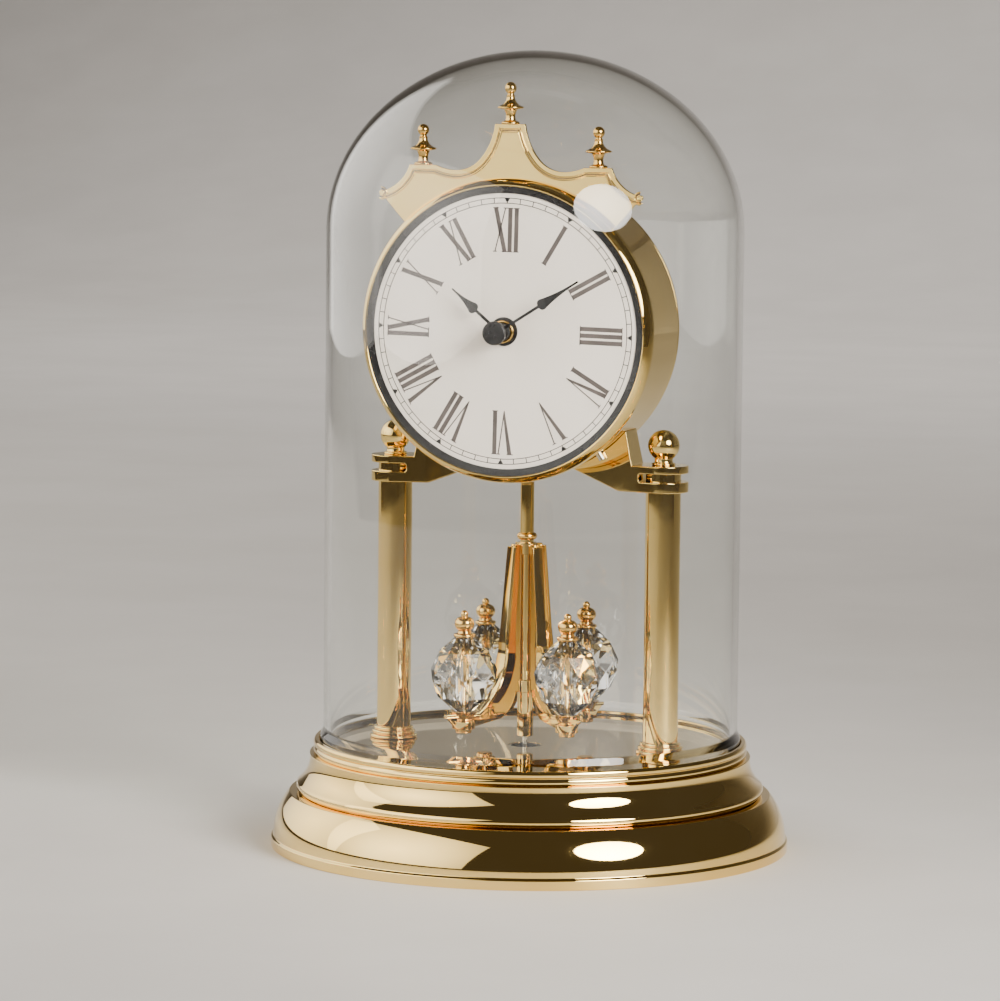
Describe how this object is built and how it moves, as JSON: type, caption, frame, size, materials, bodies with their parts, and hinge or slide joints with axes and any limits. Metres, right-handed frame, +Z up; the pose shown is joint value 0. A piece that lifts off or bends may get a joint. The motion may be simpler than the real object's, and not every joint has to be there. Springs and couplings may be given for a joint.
{
  "type": "anniversary clock",
  "caption": "Domed table clock: round stepped base, two columns, round dial in a drum with a pointed crown, and a slow turning pendulum of crystal balls under glass.",
  "frame": {"origin": "middle of the base's underside, where the clock stands on the table", "axes": "+Z up; the dial faces -Y; +X is on the dial's III side as the clock is read"},
  "size_m": [0.15, 0.15, 0.23],
  "materials": {
    "plated_brass": "mirror-bright brass plating",
    "turned_brass": "polished turned brass",
    "clear_glass": "clear blown glass",
    "cut_crystal": "clear, polished facets",
    "dial_ivory": "satin ivory print base",
    "black_lacquer": "gloss black",
    "black_plastic": "satin moulded",
    "steel": "bright drawn",
    "board_felt": "felt on fibreboard",
    "copper_wire": "enamelled wire",
    "cell_jacket": "plain printed sleeve",
    "circuit_green": "solder resist",
    "nylon": "natural moulded"
  },
  "bodies": {
    "root": {"base_plate": "plated_brass", "base_shell": "plated_brass", "battery": "cell_jacket", "battery_contacts": "steel", "bezel": "plated_brass", "bottom_board": "board_felt", "bracket_left": "plated_brass", "bracket_right": "plated_brass", "bracket_screws": "steel", "chapter_ring": "black_lacquer", "circuit_board": "circuit_green", "column_finial_left": "plated_brass", "column_finial_right": "plated_brass", "column_foot_left": "plated_brass", "column_foot_right": "plated_brass", "column_left": "plated_brass", "column_nuts": "steel", "column_right": "plated_brass", "column_washers": "steel", "crown_finial_left": "turned_brass", "crown_finial_middle": "turned_brass", "crown_finial_right": "turned_brass", "crown_plate": "plated_brass", "crown_screw": "steel", "dial": "dial_ivory", "dome_seat_ring": "plated_brass", "drive_case": "black_plastic", "drive_coil": "copper_wire", "drive_lid": "black_plastic", "drum_case": "plated_brass", "guide_cup": "black_plastic", "movement_case": "black_plastic", "movement_cover": "black_plastic", "stator": "steel", "stem_nut": "turned_brass", "stem_washer": "black_lacquer", "step_coil": "copper_wire", "tie_rods": "steel"},
    "glass_dome": {"glass_dome": "clear_glass"},
    "rear_cover": {"rear_cover": "plated_brass"},
    "minute_train": {"centre_wheel": "nylon", "minute_hand": "black_lacquer", "hand_cap": "black_lacquer"},
    "hour_train": {"hour_wheel": "nylon", "hour_hand": "black_lacquer"},
    "motion_train": {"motion_wheel": "nylon"},
    "setting_train": {"setting_knob": "black_plastic"},
    "pendulum": {"pendulum_arbor": "steel", "pendulum_eye": "turned_brass", "pendulum_tube": "plated_brass", "pendulum_bead": "turned_brass", "pendulum_spider": "plated_brass", "crystal_1": "cut_crystal", "crystal_2": "cut_crystal", "crystal_3": "cut_crystal", "crystal_4": "cut_crystal", "crystal_rods": "turned_brass", "crystal_caps": "turned_brass", "crystal_cups": "turned_brass", "guide_pin": "steel"}
  },
  "joints": [
    {"name": "dome_lift", "type": "slide", "parent": "root", "child": "glass_dome", "axis": [0, 0, 1], "range_m": [0, 0.2]},
    {"name": "cover_pull", "type": "slide", "parent": "root", "child": "rear_cover", "axis": [0, 1, 0], "range_m": [0, 0.015]},
    {"name": "minute_turn", "type": "hinge", "parent": "root", "child": "minute_train", "pos_m": [0, 0, 0.151], "axis": [0, 1, 0], "continuous": true},
    {"name": "hour_turn", "type": "hinge", "parent": "root", "child": "hour_train", "pos_m": [0, 0, 0.151], "axis": [0, 1, 0], "continuous": true},
    {"name": "motion_turn", "type": "hinge", "parent": "root", "child": "motion_train", "pos_m": [0.005, 0, 0.15966], "axis": [0, 1, 0], "continuous": true},
    {"name": "setting_turn", "type": "hinge", "parent": "root", "child": "setting_train", "pos_m": [0, 0, 0.16832], "axis": [0, 1, 0], "continuous": true},
    {"name": "pendulum_turn", "type": "hinge", "parent": "root", "child": "pendulum", "pos_m": [0, -0.0046, 0.1105], "axis": [0, 0, 1], "range_deg": [-135, 135]}
  ],
  "couplings": [
    {"joint": "hour_turn", "follows": "minute_turn", "ratio": 0.083333},
    {"joint": "motion_turn", "follows": "minute_turn", "ratio": -0.33333},
    {"joint": "setting_turn", "follows": "minute_turn", "ratio": 1}
  ]
}
